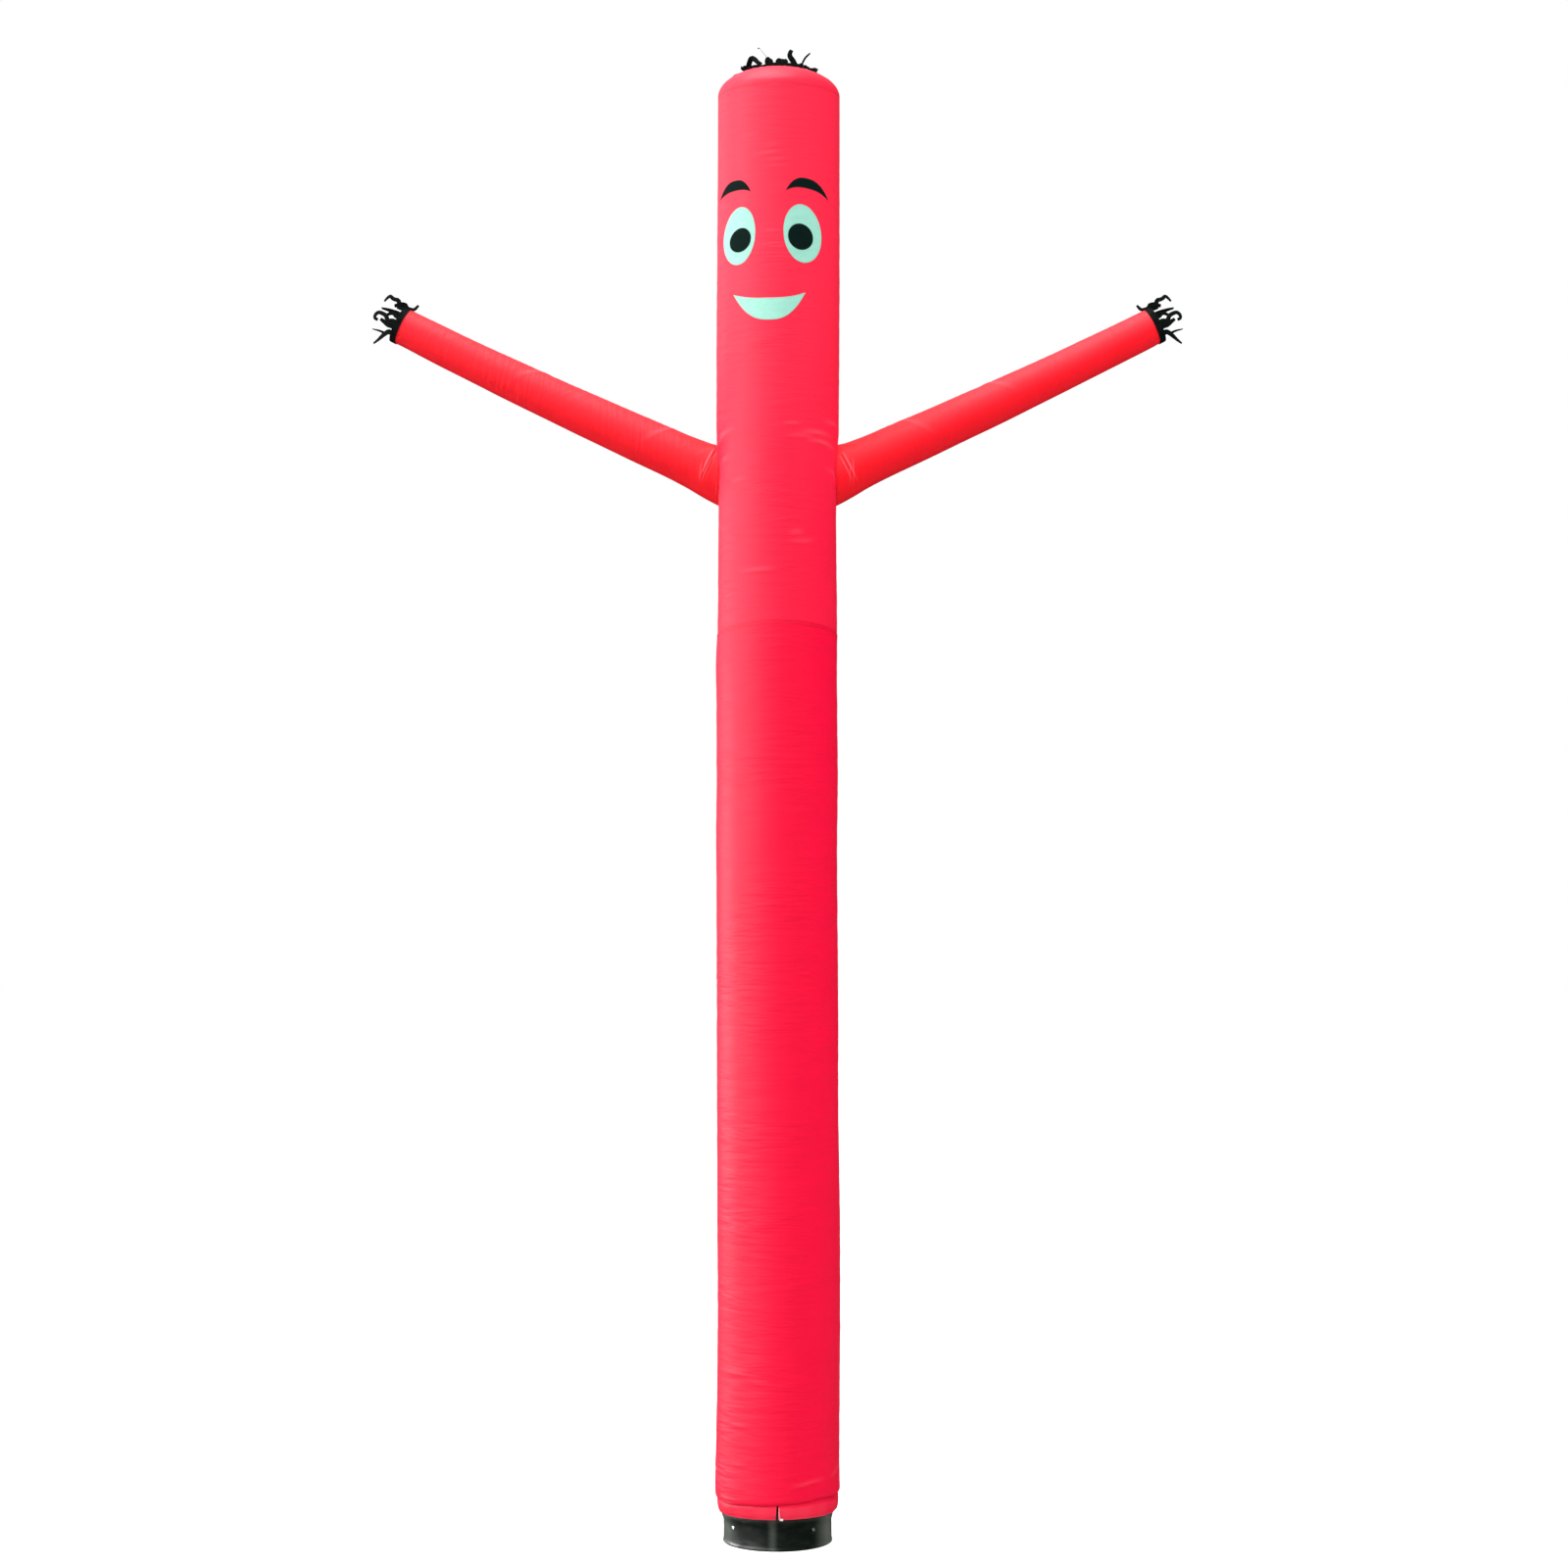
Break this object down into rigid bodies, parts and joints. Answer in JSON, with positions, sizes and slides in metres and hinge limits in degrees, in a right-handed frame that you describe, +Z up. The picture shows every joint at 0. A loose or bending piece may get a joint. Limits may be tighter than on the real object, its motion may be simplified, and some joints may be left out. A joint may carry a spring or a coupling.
{
  "type": "inflatable air dancer on a blower collar",
  "caption": "Tall inflatable tube figure with raised arms, fringed hands and hair and a smiling patch face, fitted over the collar of its blower",
  "frame": {"origin": "on the ground in the middle of the blower collar", "axes": "+Z up along the tube, the face looks along -Y, the arms reach out along X"},
  "size_m": [3.3368, 0.504, 6.0873],
  "materials": {
    "red_nylon": "coated nylon, soft sheen",
    "red_nylon_arms": "coated nylon, soft sheen",
    "black_nylon": "coated nylon",
    "mint_patch": "coated nylon, matt",
    "white_tape": "woven tape",
    "collar_paint": "satin black paint",
    "screw_zinc": "pale plated heads"
  },
  "bodies": {
    "root": {"tube_lower": "red_nylon", "tube_upper": "red_nylon", "head_cap": "red_nylon", "arm_left": "red_nylon_arms", "arm_right": "red_nylon_arms", "hand_fringe_left": "black_nylon", "hand_fringe_right": "black_nylon", "hair_fringe": "black_nylon", "eye_left": "mint_patch", "eye_right": "mint_patch", "mouth": "mint_patch", "pupil_left": "black_nylon", "pupil_right": "black_nylon", "brow_left": "black_nylon", "brow_right": "black_nylon", "hem_tab": "white_tape", "collar": "collar_paint", "collar_screw_left": "screw_zinc", "collar_screw_right": "screw_zinc"}
  },
  "joints": []
}
